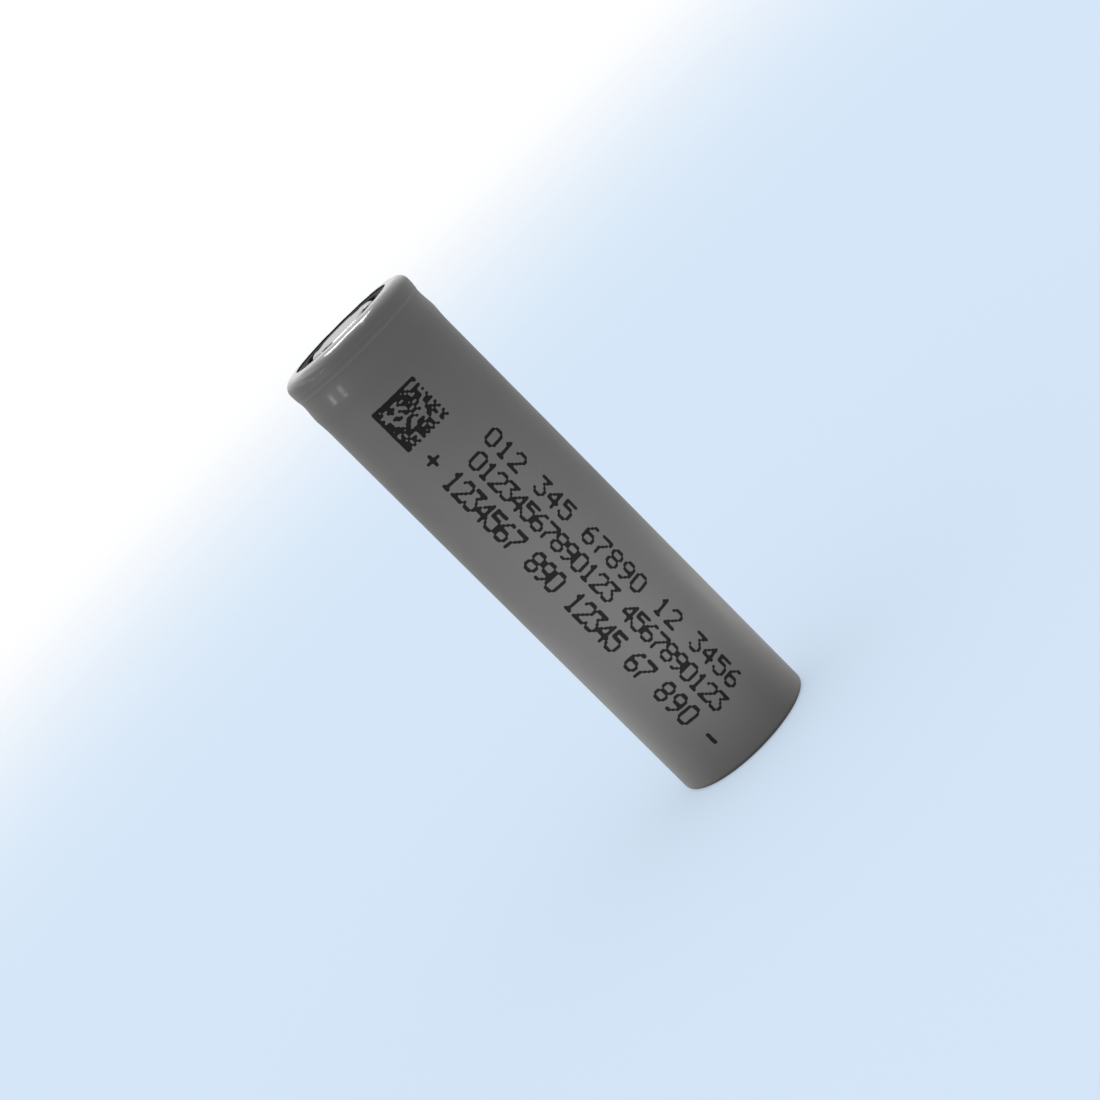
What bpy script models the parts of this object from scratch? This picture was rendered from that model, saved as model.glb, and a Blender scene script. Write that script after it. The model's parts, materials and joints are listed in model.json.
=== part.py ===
"""Cylindrical lithium-ion cell, 18 mm by 65 mm, flat top, in a heat-shrink sleeve.

Metres, +Z up along the cell's axis towards the positive cap. The origin is the
centre of the bottom end. Round pieces are profiles turned by a Screw modifier,
and the wound strips and the tabs are swept sheets with a Solidify modifier.
"""
import math

import bmesh
import bpy
from mathutils import Vector

mm = 0.001

# Driving dimensions
CELL_LENGTH = 65.2 * mm
BODY_RADIUS = 9.02 * mm
HEAD_RADIUS = 9.13 * mm
SHOULDER_RADIUS = 9.14 * mm
CLEARANCE = 0.03 * mm

SLEEVE_FILM = 0.10 * mm
SLEEVE_TOP_OPENING = 6.85 * mm
SLEEVE_BOTTOM_OPENING = 7.30 * mm
SLEEVE_TOP_ROUNDING = 1.40 * mm
SLEEVE_BOTTOM_ROUNDING = 0.60 * mm
SLEEVE_GROOVE_RADIUS = 8.96 * mm
SLEEVE_GROOVE_RISE = 0.60 * mm
SLEEVE_GROOVE_REACH = 1.10 * mm

CAN_WALL = 0.22 * mm
CAN_LIP_OPENING = 6.60 * mm
CAN_ROUNDING = 0.90 * mm
CAN_PANEL_RADIUS = 5.20 * mm
CAN_PANEL_SLOPE = 0.12 * mm
CAN_PANEL_RISE = 0.06 * mm
BEAD_DROP = 3.30 * mm
BEAD_REACH = 0.93 * mm
BEAD_LIP = (0.62 * mm, 0.23 * mm)
BEAD_SHELF = (0.45 * mm, 0.98 * mm)
BEAD_DEPTH = 1.23 * mm
GROOVE_DROP = 3.48 * mm
SHOULDER_TOP_DROP = 4.75 * mm
SHOULDER_BOTTOM_DROP = 6.10 * mm
SHOULDER_FOOT_DROP = 7.70 * mm

RING_THICKNESS = 0.25 * mm
RING_OPENING = 5.30 * mm
RING_RADIUS = 7.80 * mm

GASKET_WALL = 0.42 * mm
GASKET_TOP_OPENING = 6.40 * mm
GASKET_BOTTOM_OPENING = 6.80 * mm

CAP_SHEET = 0.35 * mm
CAP_FLANGE_RADIUS = 8.05 * mm
CAP_RECESS = 0.12 * mm
BUTTON_RADIUS = 4.60 * mm
BUTTON_ROUNDING = 0.40 * mm
BUTTON_FOOT_RADIUS = 4.85 * mm
WINDOW_COUNT = 4
WINDOW_WIDTH = 1.90 * mm
WINDOW_INNER_RADIUS = 3.70 * mm
WINDOW_OUTER_RADIUS = 5.60 * mm
WINDOW_SILL = 0.12 * mm
FIRST_WINDOW_ANGLE = math.radians(-37.0)

DISC_SHEET = 0.30 * mm
DISC_DISH = 0.35 * mm
DISC_DISH_RADIUS = 3.40 * mm
DISC_RIM_RADIUS = 5.20 * mm
DISC_OPENING = 2.20 * mm
DISC_CENTRE_RADIUS = 2.12 * mm
DISC_WELD_RADIUS = 0.90 * mm
DISC_WELD_HEIGHT = 0.16 * mm

CONTACT_PLATE_THICKNESS = 0.30 * mm
CONTACT_PLATE_RADIUS = 6.65 * mm
CONTACT_HOLE_COUNT = 6
CONTACT_HOLE_RADIUS = 0.60 * mm
CONTACT_HOLE_CIRCLE = 3.60 * mm
CONTACT_RING_OPENING = 5.30 * mm

UPPER_DISC_HEIGHT = 60.00 * mm
UPPER_DISC_THICKNESS = 0.30 * mm
UPPER_DISC_RADIUS = 8.40 * mm
UPPER_DISC_OPENING = 2.10 * mm
LOWER_DISC_HEIGHT = 0.90 * mm
LOWER_DISC_THICKNESS = 0.20 * mm
LOWER_DISC_RADIUS = 8.00 * mm
LOWER_DISC_OPENING = 2.10 * mm

CORE_RADIUS = 2.25 * mm
ROLL_RADIUS = 8.15 * mm
ROLL_TURNS = 5
ELECTRODE_THICKNESS = 0.32 * mm
SEPARATOR_THICKNESS = 0.08 * mm
SEPARATOR_SPAN = (1.60 * mm, 59.40 * mm)
ANODE_SPAN = (2.30 * mm, 58.70 * mm)
CATHODE_SPAN = (2.80 * mm, 58.20 * mm)
ROLL_TAPE_SPAN = (3.50 * mm, 57.50 * mm)
ROLL_TAPE_RADIUS = 8.28 * mm
ROLL_TAPE_THICKNESS = 0.06 * mm

TAB_OFFSET = 1.20 * mm
POSITIVE_TAB_WIDTH = 3.00 * mm
POSITIVE_TAB_THICKNESS = 0.15 * mm
POSITIVE_TAB_FOOT = 30.00 * mm
POSITIVE_TAB_END = -2.60 * mm
NEGATIVE_TAB_WIDTH = 3.00 * mm
NEGATIVE_TAB_THICKNESS = 0.10 * mm
INNER_TAB_HEAD = 34.00 * mm
OUTER_TAB_HEAD = 12.00 * mm
INNER_TAB_END = 0.90 * mm
OUTER_TAB_END = 1.80 * mm
OUTER_TAB_OFFSET = 8.36 * mm
TAB_BEND_RADIUS = 0.90 * mm
TAPE_THICKNESS = 0.06 * mm
TAPE_WIDTH = 3.18 * mm
TAPE_DEPTH = 0.26 * mm
POSITIVE_TAPE_SPAN = (50.00 * mm, 59.00 * mm)
NEGATIVE_TAPE_SPAN = (2.20 * mm, 9.00 * mm)

TURN_STEPS = 40
SPIRAL_STEPS = 20
CORNER_STEPS = 3

# Heights that follow from the crimped stack, from the sleeve's fold down
RING_TOP = CELL_LENGTH - SLEEVE_FILM - CLEARANCE
CAN_TOP = RING_TOP - RING_THICKNESS - CLEARANCE
GASKET_TOP = CAN_TOP - CAN_WALL - CLEARANCE
FLANGE_TOP = GASKET_TOP - GASKET_WALL - CLEARANCE
CAP_TOP = CELL_LENGTH - CAP_RECESS
DISC_TOP = FLANGE_TOP - CAP_SHEET - CLEARANCE
GASKET_BOTTOM = DISC_TOP - DISC_SHEET - CLEARANCE - GASKET_WALL
DISH_TOP = DISC_TOP - DISC_DISH
CONTACT_PLATE_TOP = DISH_TOP - DISC_SHEET - DISC_WELD_HEIGHT - CLEARANCE
CONTACT_PLATE_BOTTOM = CONTACT_PLATE_TOP - CONTACT_PLATE_THICKNESS

# Radii and heights that follow from the sleeve
FILM_AND_CLEARANCE = SLEEVE_FILM + CLEARANCE
CAN_RADIUS = BODY_RADIUS - FILM_AND_CLEARANCE
CAN_HEAD_RADIUS = HEAD_RADIUS - FILM_AND_CLEARANCE
CAN_SHOULDER_RADIUS = SHOULDER_RADIUS - FILM_AND_CLEARANCE
CAN_BOTTOM = FILM_AND_CLEARANCE
GASKET_RADIUS = CAN_HEAD_RADIUS - CAN_WALL - CLEARANCE
STACK_RADIUS = GASKET_RADIUS - GASKET_WALL - CLEARANCE
CAN_PANEL = CAN_BOTTOM + CAN_PANEL_RISE
CAN_FLOOR = CAN_PANEL + CAN_WALL


def clear_scene():
    for item in list(bpy.data.objects):
        bpy.data.objects.remove(item, do_unlink=True)


def new_collection(name):
    collection = bpy.data.collections.new(name)
    bpy.context.scene.collection.children.link(collection)
    return collection


def new_material(name, color, roughness, metallic):
    material = bpy.data.materials.new(name)
    material.use_nodes = True
    shader = material.node_tree.nodes["Principled BSDF"]
    shader.inputs["Base Color"].default_value = (*color, 1.0)
    shader.inputs["Roughness"].default_value = roughness
    shader.inputs["Metallic"].default_value = metallic
    return material


def arc(centre_x, centre_z, radius, start, end, steps=CORNER_STEPS):
    """Points along an arc in a profile, with its angles in degrees from +X."""
    points = []
    for step in range(steps + 1):
        angle = math.radians(start + (end - start) * step / steps)
        points.append((centre_x + radius * math.cos(angle), centre_z + radius * math.sin(angle)))
    return points


def wall(line, thickness):
    """Closed outline of a sheet: the line is its outer side, run from top to bottom."""
    normals = []
    for start, end in zip(line[:-1], line[1:]):
        along = (Vector(end) - Vector(start)).normalized()
        normals.append(Vector((along.y, -along.x)))
    inner = []
    for index, point in enumerate(line):
        before = normals[max(index - 1, 0)]
        after = normals[min(index, len(normals) - 1)]
        mitre = (before + after).normalized()
        inner.append(tuple(Vector(point) + mitre * (thickness / mitre.dot(after))))
    return line + inner[::-1]


def block(inner_radius, outer_radius, bottom, top):
    """Rectangular outline of a flat disc or a ring."""
    return [(inner_radius, top), (outer_radius, top), (outer_radius, bottom), (inner_radius, bottom)]


def add_object(name, mesh, collection, material=None):
    item = bpy.data.objects.new(name, mesh)
    collection.objects.link(item)
    if material:
        mesh.materials.append(material)
    return item


def turned(name, outline, collection, material):
    """Turn an outline around Z, leaving out an edge that lies on the axis."""
    mesh = bpy.data.meshes.new(name)
    shape = bmesh.new()
    corners = [shape.verts.new((x, 0.0, z)) for x, z in outline]
    for start, end in zip(corners, corners[1:] + corners[:1]):
        if start.co.x > 0.0 or end.co.x > 0.0:
            shape.edges.new((start, end))
    shape.to_mesh(mesh)
    shape.free()
    item = add_object(name, mesh, collection, material)
    screw = item.modifiers.new("Turn", "SCREW")
    screw.axis = "Z"
    screw.angle = math.tau
    screw.steps = TURN_STEPS
    screw.render_steps = TURN_STEPS
    screw.use_merge_vertices = True
    screw.merge_threshold = 1e-6
    screw.use_smooth_shade = True
    return item


def swept_sheet(name, path, sweep, thickness, collection, material, closed=False):
    """Sweep a path along a vector and give the sheet its thickness, half on each side."""
    mesh = bpy.data.meshes.new(name)
    shape = bmesh.new()
    corners = [shape.verts.new(point) for point in path]
    followers = corners[1:] + corners[:1] if closed else corners[1:]
    for start, end in zip(corners, followers):
        shape.edges.new((start, end))
    swept = bmesh.ops.extrude_edge_only(shape, edges=shape.edges[:])
    moved = [part for part in swept["geom"] if isinstance(part, bmesh.types.BMVert)]
    bmesh.ops.translate(shape, verts=moved, vec=sweep)
    bmesh.ops.recalc_face_normals(shape, faces=shape.faces[:])
    shape.to_mesh(mesh)
    shape.free()
    mesh.shade_smooth()
    item = add_object(name, mesh, collection, material)
    solidify = item.modifiers.new("Thickness", "SOLIDIFY")
    solidify.thickness = thickness
    solidify.offset = 0.0
    solidify.use_even_offset = True
    return item


def cut(item, cutter, cutters):
    """Cut one object with another, which goes to the cutters' collection."""
    for holder in list(cutter.users_collection):
        holder.objects.unlink(cutter)
    cutters.objects.link(cutter)
    cutter.hide_render = True
    cutter.display_type = "WIRE"
    boolean = item.modifiers.new("Cut " + cutter.name, "BOOLEAN")
    boolean.operation = "DIFFERENCE"
    boolean.solver = "EXACT"
    boolean.object = cutter


def shrink_sleeve(parts):
    top_corner = CELL_LENGTH - SLEEVE_TOP_ROUNDING
    groove = CELL_LENGTH - GROOVE_DROP
    line = [(SLEEVE_TOP_OPENING, CELL_LENGTH)]
    line += arc(HEAD_RADIUS - SLEEVE_TOP_ROUNDING, top_corner, SLEEVE_TOP_ROUNDING, 90, 0)
    line += [
        (HEAD_RADIUS, groove + SLEEVE_GROOVE_REACH),
        (SLEEVE_GROOVE_RADIUS, groove + SLEEVE_GROOVE_RISE),
        (SLEEVE_GROOVE_RADIUS, groove - SLEEVE_GROOVE_RISE),
        (SHOULDER_RADIUS, CELL_LENGTH - SHOULDER_TOP_DROP),
        (SHOULDER_RADIUS, CELL_LENGTH - SHOULDER_BOTTOM_DROP),
        (BODY_RADIUS, CELL_LENGTH - SHOULDER_FOOT_DROP),
    ]
    line += arc(
        BODY_RADIUS - SLEEVE_BOTTOM_ROUNDING, SLEEVE_BOTTOM_ROUNDING, SLEEVE_BOTTOM_ROUNDING, 0, -90
    )
    line += [(SLEEVE_BOTTOM_OPENING, 0.0)]
    film = new_material("grey_shrink_film", (0.11, 0.11, 0.112), 0.55, 0.0)
    turned("shrink_sleeve", wall(line, SLEEVE_FILM), parts, film)


def top_insulator_ring(parts):
    outline = block(RING_OPENING, RING_RADIUS, RING_TOP - RING_THICKNESS, RING_TOP)
    board = new_material("black_insulating_board", (0.012, 0.012, 0.013), 0.6, 0.0)
    turned("top_insulator_ring", outline, parts, board)


def steel_can(parts):
    """The drawn can: crimped lip, bead, shoulder, and a bottom with a shallow raised panel."""
    bead = CELL_LENGTH - BEAD_DROP
    line = [(CAN_LIP_OPENING, CAN_TOP)]
    line += arc(CAN_HEAD_RADIUS - CAN_ROUNDING, CAN_TOP - CAN_ROUNDING, CAN_ROUNDING, 90, 0)
    line += [
        (CAN_HEAD_RADIUS, bead + BEAD_REACH),
        (CAN_HEAD_RADIUS - BEAD_LIP[1], bead + BEAD_LIP[0]),
        (CAN_HEAD_RADIUS - BEAD_SHELF[1], bead + BEAD_SHELF[0]),
        (CAN_HEAD_RADIUS - BEAD_DEPTH, bead),
        (CAN_HEAD_RADIUS - BEAD_SHELF[1], bead - BEAD_SHELF[0]),
        (CAN_HEAD_RADIUS - BEAD_LIP[1], bead - BEAD_LIP[0]),
        (CAN_SHOULDER_RADIUS, CELL_LENGTH - SHOULDER_TOP_DROP),
        (CAN_SHOULDER_RADIUS, CELL_LENGTH - SHOULDER_BOTTOM_DROP),
        (CAN_RADIUS, CELL_LENGTH - SHOULDER_FOOT_DROP),
    ]
    rounding = SLEEVE_BOTTOM_ROUNDING - FILM_AND_CLEARANCE
    line += arc(CAN_RADIUS - rounding, CAN_BOTTOM + rounding, rounding, 0, -90)
    line += [
        (CAN_PANEL_RADIUS + CAN_PANEL_SLOPE, CAN_BOTTOM),
        (CAN_PANEL_RADIUS, CAN_PANEL),
        (0.0, CAN_PANEL),
    ]
    steel = new_material("nickel_plated_steel", (0.62, 0.61, 0.58), 0.28, 1.0)
    turned("steel_can", wall(line, CAN_WALL), parts, steel)


def crimp_gasket(parts):
    corner_radius = CAN_ROUNDING - CAN_WALL - CLEARANCE
    line = [(GASKET_TOP_OPENING, GASKET_TOP)]
    line += arc(GASKET_RADIUS - corner_radius, GASKET_TOP - corner_radius, corner_radius, 90, 0)
    line += [(GASKET_RADIUS, GASKET_BOTTOM), (GASKET_BOTTOM_OPENING, GASKET_BOTTOM)]
    polymer = new_material("gasket_polymer", (0.75, 0.74, 0.70), 0.5, 0.0)
    turned("crimp_gasket", wall(line, GASKET_WALL), parts, polymer)


def window_cutter(index, cutters):
    """A box across the button's side wall, one of those spaced evenly around it."""
    length = WINDOW_OUTER_RADIUS - WINDOW_INNER_RADIUS
    bottom = FLANGE_TOP + WINDOW_SILL
    top = CAP_TOP + CAP_SHEET
    angle = FIRST_WINDOW_ANGLE + math.tau * index / WINDOW_COUNT
    reach = (WINDOW_OUTER_RADIUS + WINDOW_INNER_RADIUS) / 2
    bpy.ops.mesh.primitive_cube_add(size=1.0)
    cutter = bpy.context.object
    cutter.name = "window_cutter_%d" % (index + 1)
    cutter.scale = (length, WINDOW_WIDTH, top - bottom)
    cutter.rotation_euler = (0.0, 0.0, angle)
    cutter.location = (reach * math.cos(angle), reach * math.sin(angle), (top + bottom) / 2)
    return cutter


def positive_cap(parts, cutters):
    shoulder = BUTTON_RADIUS - BUTTON_ROUNDING
    line = [(0.0, CAP_TOP)]
    line += arc(shoulder, CAP_TOP - BUTTON_ROUNDING, BUTTON_ROUNDING, 90, 15, steps=3)
    line += [(BUTTON_FOOT_RADIUS, FLANGE_TOP), (CAP_FLANGE_RADIUS, FLANGE_TOP)]
    steel = new_material("nickel_plated_cap", (0.66, 0.64, 0.60), 0.22, 1.0)
    cap = turned("positive_cap", wall(line, CAP_SHEET), parts, steel)
    for index in range(WINDOW_COUNT):
        cut(cap, window_cutter(index, cutters), cutters)


def vent_disc(parts):
    line = [
        (DISC_OPENING, DISH_TOP),
        (DISC_DISH_RADIUS, DISH_TOP),
        (DISC_RIM_RADIUS, DISC_TOP),
        (STACK_RADIUS, DISC_TOP),
    ]
    aluminium = new_material("vent_aluminium", (0.78, 0.78, 0.79), 0.3, 1.0)
    turned("vent_disc", wall(line, DISC_SHEET), parts, aluminium)


def vent_disc_centre(parts):
    """The part of the disc inside its score line, with the weld nub below it."""
    underside = DISH_TOP - DISC_SHEET
    nub = underside - DISC_WELD_HEIGHT
    outline = [
        (0.0, DISH_TOP),
        (DISC_CENTRE_RADIUS, DISH_TOP),
        (DISC_CENTRE_RADIUS, underside),
        (DISC_WELD_RADIUS, underside),
        (DISC_WELD_RADIUS, nub),
        (0.0, nub),
    ]
    aluminium = new_material("vent_centre_aluminium", (0.80, 0.80, 0.81), 0.26, 1.0)
    turned("vent_disc_centre", outline, parts, aluminium)


def cid_insulator_ring(parts):
    bottom = CONTACT_PLATE_TOP + CLEARANCE
    top = DISC_TOP - DISC_SHEET - CLEARANCE
    outline = block(CONTACT_RING_OPENING, CONTACT_PLATE_RADIUS, bottom, top)
    polymer = new_material("ring_polymer", (0.70, 0.69, 0.64), 0.5, 0.0)
    turned("cid_insulator_ring", outline, parts, polymer)


def contact_hole_cutter(index, cutters):
    angle = math.tau * index / CONTACT_HOLE_COUNT
    bpy.ops.mesh.primitive_cylinder_add(
        vertices=12, radius=CONTACT_HOLE_RADIUS, depth=CONTACT_PLATE_THICKNESS * 3
    )
    cutter = bpy.context.object
    cutter.name = "contact_hole_cutter_%d" % (index + 1)
    cutter.location = (
        CONTACT_HOLE_CIRCLE * math.cos(angle),
        CONTACT_HOLE_CIRCLE * math.sin(angle),
        (CONTACT_PLATE_TOP + CONTACT_PLATE_BOTTOM) / 2,
    )
    return cutter


def cid_contact_plate(parts, cutters):
    outline = block(0.0, CONTACT_PLATE_RADIUS, CONTACT_PLATE_BOTTOM, CONTACT_PLATE_TOP)
    aluminium = new_material("contact_aluminium", (0.76, 0.76, 0.77), 0.35, 1.0)
    plate = turned("cid_contact_plate", outline, parts, aluminium)
    for index in range(CONTACT_HOLE_COUNT):
        cut(plate, contact_hole_cutter(index, cutters), cutters)


def insulator_discs(parts):
    paper = new_material("insulating_disc", (0.60, 0.58, 0.50), 0.7, 0.0)
    upper = block(
        UPPER_DISC_OPENING, UPPER_DISC_RADIUS, UPPER_DISC_HEIGHT, UPPER_DISC_HEIGHT + UPPER_DISC_THICKNESS
    )
    turned("upper_insulator_disc", upper, parts, paper)
    lower = block(
        LOWER_DISC_OPENING, LOWER_DISC_RADIUS, LOWER_DISC_HEIGHT, LOWER_DISC_HEIGHT + LOWER_DISC_THICKNESS
    )
    turned("lower_insulator_disc", lower, parts, paper)


def spiral(start_radius, pitch, height):
    """Points of an even spiral around Z at one height."""
    points = []
    for step in range(ROLL_TURNS * SPIRAL_STEPS + 1):
        turn = step / SPIRAL_STEPS
        radius = start_radius + pitch * turn
        points.append((radius * math.cos(math.tau * turn), radius * math.sin(math.tau * turn), height))
    return points


def electrode_roll(parts):
    """Four strips wound together: separator, anode, separator, cathode."""
    pitch = (ROLL_RADIUS - CORE_RADIUS) / (ROLL_TURNS + 1)
    layers = (
        ("separator_inner", SEPARATOR_THICKNESS, SEPARATOR_SPAN, (0.82, 0.82, 0.80), 0.5),
        ("anode_strip", ELECTRODE_THICKNESS, ANODE_SPAN, (0.05, 0.05, 0.052), 0.7),
        ("separator_outer", SEPARATOR_THICKNESS, SEPARATOR_SPAN, (0.82, 0.82, 0.80), 0.5),
        ("cathode_strip", ELECTRODE_THICKNESS, CATHODE_SPAN, (0.03, 0.03, 0.032), 0.65),
    )
    spare = (pitch - sum(layer[1] for layer in layers)) / len(layers)
    radius = CORE_RADIUS
    for name, thickness, span, color, roughness in layers:
        path = spiral(radius + thickness / 2, pitch, span[0])
        coating = new_material(name + "_coating", color, roughness, 0.0)
        swept_sheet(name, path, (0.0, 0.0, span[1] - span[0]), thickness, parts, coating)
        radius += thickness + spare


def roll_tape(parts):
    outline = block(ROLL_TAPE_RADIUS - ROLL_TAPE_THICKNESS, ROLL_TAPE_RADIUS, *ROLL_TAPE_SPAN)
    tape = new_material("roll_tape_film", (0.10, 0.35, 0.22), 0.4, 0.0)
    turned("roll_tape", outline, parts, tape)


def tab(name, profile, width, thickness, parts, material):
    """A flat metal tab that follows a profile in the XZ plane."""
    path = [(x, -width / 2, z) for x, z in profile]
    return swept_sheet(name, path, (0.0, width, 0.0), thickness, parts, material)


def positive_tab(parts):
    leg = CONTACT_PLATE_BOTTOM - CLEARANCE - POSITIVE_TAB_THICKNESS / 2
    profile = [(TAB_OFFSET, POSITIVE_TAB_FOOT)]
    profile += arc(TAB_OFFSET - TAB_BEND_RADIUS, leg - TAB_BEND_RADIUS, TAB_BEND_RADIUS, 0, 90)
    profile += [(POSITIVE_TAB_END, leg)]
    aluminium = new_material("tab_aluminium", (0.77, 0.77, 0.78), 0.3, 1.0)
    tab("positive_tab", profile, POSITIVE_TAB_WIDTH, POSITIVE_TAB_THICKNESS, parts, aluminium)


def negative_tabs(parts):
    nickel = new_material("tab_nickel", (0.66, 0.63, 0.58), 0.3, 1.0)
    leg = CAN_FLOOR + CLEARANCE + NEGATIVE_TAB_THICKNESS / 2
    bend = TAB_BEND_RADIUS
    inner = [(-TAB_OFFSET, INNER_TAB_HEAD)]
    inner += arc(-TAB_OFFSET + bend, leg + bend, bend, 180, 270)
    inner += [(INNER_TAB_END, leg)]
    tab("negative_tab_inner", inner, NEGATIVE_TAB_WIDTH, NEGATIVE_TAB_THICKNESS, parts, nickel)
    outer = [(OUTER_TAB_OFFSET, OUTER_TAB_HEAD)]
    outer += arc(OUTER_TAB_OFFSET - bend, leg + bend, bend, 0, -90)
    outer += [(OUTER_TAB_END, leg)]
    tab("negative_tab_outer", outer, NEGATIVE_TAB_WIDTH, NEGATIVE_TAB_THICKNESS, parts, nickel)


def tab_tapes(parts):
    """Insulating tape wrapped around the two tabs that stand in the core."""
    tape = new_material("tab_tape_film", (0.55, 0.33, 0.06), 0.4, 0.0)
    tapes = (
        ("positive_tab_tape", TAB_OFFSET, POSITIVE_TAPE_SPAN),
        ("negative_tab_tape", -TAB_OFFSET, NEGATIVE_TAPE_SPAN),
    )
    depth = TAPE_DEPTH / 2
    width = TAPE_WIDTH / 2
    for name, offset, span in tapes:
        corners = ((-depth, -width), (depth, -width), (depth, width), (-depth, width))
        path = [(offset + x, y, span[0]) for x, y in corners]
        height = span[1] - span[0]
        swept_sheet(name, path, (0.0, 0.0, height), TAPE_THICKNESS, parts, tape, closed=True)


def main():
    clear_scene()
    parts = new_collection("battery_cell")
    cutters = new_collection("battery_cell_cutters")
    shrink_sleeve(parts)
    top_insulator_ring(parts)
    steel_can(parts)
    crimp_gasket(parts)
    positive_cap(parts, cutters)
    vent_disc(parts)
    vent_disc_centre(parts)
    cid_insulator_ring(parts)
    cid_contact_plate(parts, cutters)
    insulator_discs(parts)
    electrode_roll(parts)
    roll_tape(parts)
    positive_tab(parts)
    negative_tabs(parts)
    tab_tapes(parts)


main()
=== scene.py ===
import json
import math
import random

import bpy
from mathutils import Matrix, Vector, noise


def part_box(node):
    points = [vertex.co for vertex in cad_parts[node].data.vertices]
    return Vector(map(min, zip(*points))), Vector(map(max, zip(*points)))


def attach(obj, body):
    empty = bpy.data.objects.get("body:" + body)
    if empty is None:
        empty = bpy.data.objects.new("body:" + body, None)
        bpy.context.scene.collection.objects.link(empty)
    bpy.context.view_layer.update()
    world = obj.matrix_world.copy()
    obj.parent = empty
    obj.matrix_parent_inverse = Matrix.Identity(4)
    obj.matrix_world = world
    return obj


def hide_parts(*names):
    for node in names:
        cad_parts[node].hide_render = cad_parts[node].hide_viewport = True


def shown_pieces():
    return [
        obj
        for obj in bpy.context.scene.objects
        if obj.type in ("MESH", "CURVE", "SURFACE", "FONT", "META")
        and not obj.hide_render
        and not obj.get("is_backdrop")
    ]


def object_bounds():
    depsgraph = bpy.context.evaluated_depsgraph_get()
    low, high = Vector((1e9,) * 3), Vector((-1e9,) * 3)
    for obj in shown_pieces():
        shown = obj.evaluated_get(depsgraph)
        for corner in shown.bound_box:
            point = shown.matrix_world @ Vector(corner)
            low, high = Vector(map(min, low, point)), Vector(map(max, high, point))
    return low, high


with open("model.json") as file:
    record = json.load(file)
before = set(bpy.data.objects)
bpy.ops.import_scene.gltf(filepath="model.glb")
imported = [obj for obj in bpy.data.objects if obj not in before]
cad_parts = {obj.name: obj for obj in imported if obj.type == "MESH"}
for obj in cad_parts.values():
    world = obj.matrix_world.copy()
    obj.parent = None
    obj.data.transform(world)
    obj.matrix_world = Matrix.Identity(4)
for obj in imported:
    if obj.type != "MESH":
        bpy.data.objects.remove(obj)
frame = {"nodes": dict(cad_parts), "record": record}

mm = 0.001
cadLow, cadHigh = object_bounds()
scene = bpy.context.scene
scene.view_settings.view_transform = "Standard"

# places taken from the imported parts
cellTop = cadHigh.z
canLow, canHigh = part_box("steel_can")
capLow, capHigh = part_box("positive_cap")
ringLow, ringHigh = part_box("top_insulator_ring")
print("frame loaded")


camera = {
    "lens": 86.7,
    "distance": 297.0 * mm,
    "elevation": 10.9,
    "roll": -45.0,  # the positive end points to the upper left
    "aimRight": -0.94 * mm,  # from the cell's middle
    "aimUp": -1.47 * mm,
    "clip": (0.01, 20.0),
}

studio = {
    "worldColor": (1.0, 1.0, 1.0),
    "worldStrength": 1.0,
    "floorSeen": (0.66, 0.79, 0.94),  # one plain pale blue to the camera
    "floorBounce": (0.80, 0.80, 0.80),  # a neutral tone where it lights the cell
    "floorUnshaded": 0.45,  # keeps the contact shadow faint
    "floorRadius": 1200.0 * mm,
    "floorHole": 8.0 * mm,  # light from below reaches the cell's bottom through it
    "floorSteps": 96,
    "floorRoughness": 0.9,
    "floorSpecular": 0.1,
    "fadeStart": 240.0 * mm,  # from here outwards the floor gives way to the world
    "fadeEnd": 1000.0 * mm,
}

lights = {
    # kind, azimuth from the camera's side, height and distance from the axis, aim height,
    # width and height (all in mm), full cone or spread, radiance
    "frontLow": ("SPOT", -4.0, 5.0, 60.0, 29.4, 16.0, 16.0, 58.0, 66.0),
    "leftLow": ("SPOT", -115.0, 6.0, 45.0, 13.0, 16.0, 16.0, 64.0, 56.0),
    "rightLow": ("SPOT", 115.0, 6.0, 45.0, 13.0, 16.0, 16.0, 64.0, 62.0),
    "topBack": ("AREA", 180.0, 324.0, 67.0, 64.0, 160.0, 110.0, 180.0, 15.0),
    "paneNear": ("AREA", -62.0, 82.0, 420.0, 62.0, 52.0, 18.0, 180.0, 46.0),
    "paneFar": ("AREA", -84.0, 82.0, 420.0, 62.0, 52.0, 18.0, 180.0, 46.0),
}
unseenInGloss = ("frontLow", "leftLow", "rightLow")  # they would show as bright spots


def makeCamera():
    data = bpy.data.cameras.new("studioCamera")
    data.lens = camera["lens"]
    data.clip_start, data.clip_end = camera["clip"]
    item = bpy.data.objects.new("studioCamera", data)
    scene.collection.objects.link(item)
    tilt = math.radians(camera["elevation"])
    back = Vector((0.0, -math.cos(tilt), math.sin(tilt)))
    up = Vector((0.0, math.sin(tilt), math.cos(tilt)))
    centre = Vector((0.0, 0.0, (cadLow.z + cadHigh.z) / 2))
    aim = centre + Vector((1.0, 0.0, 0.0)) * camera["aimRight"] + up * camera["aimUp"]
    turn = back.to_track_quat("Z", "Y").to_matrix().to_4x4()
    roll = Matrix.Rotation(math.radians(camera["roll"]), 4, "Z")
    item.matrix_world = Matrix.Translation(aim + back * camera["distance"]) @ turn @ roll
    scene.camera = item


def makeWorld():
    world = bpy.data.worlds.new("studioWorld")
    world.use_nodes = True
    background = world.node_tree.nodes["Background"]
    background.inputs["Color"].default_value = (*studio["worldColor"], 1.0)
    background.inputs["Strength"].default_value = studio["worldStrength"]
    scene.world = world


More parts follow.
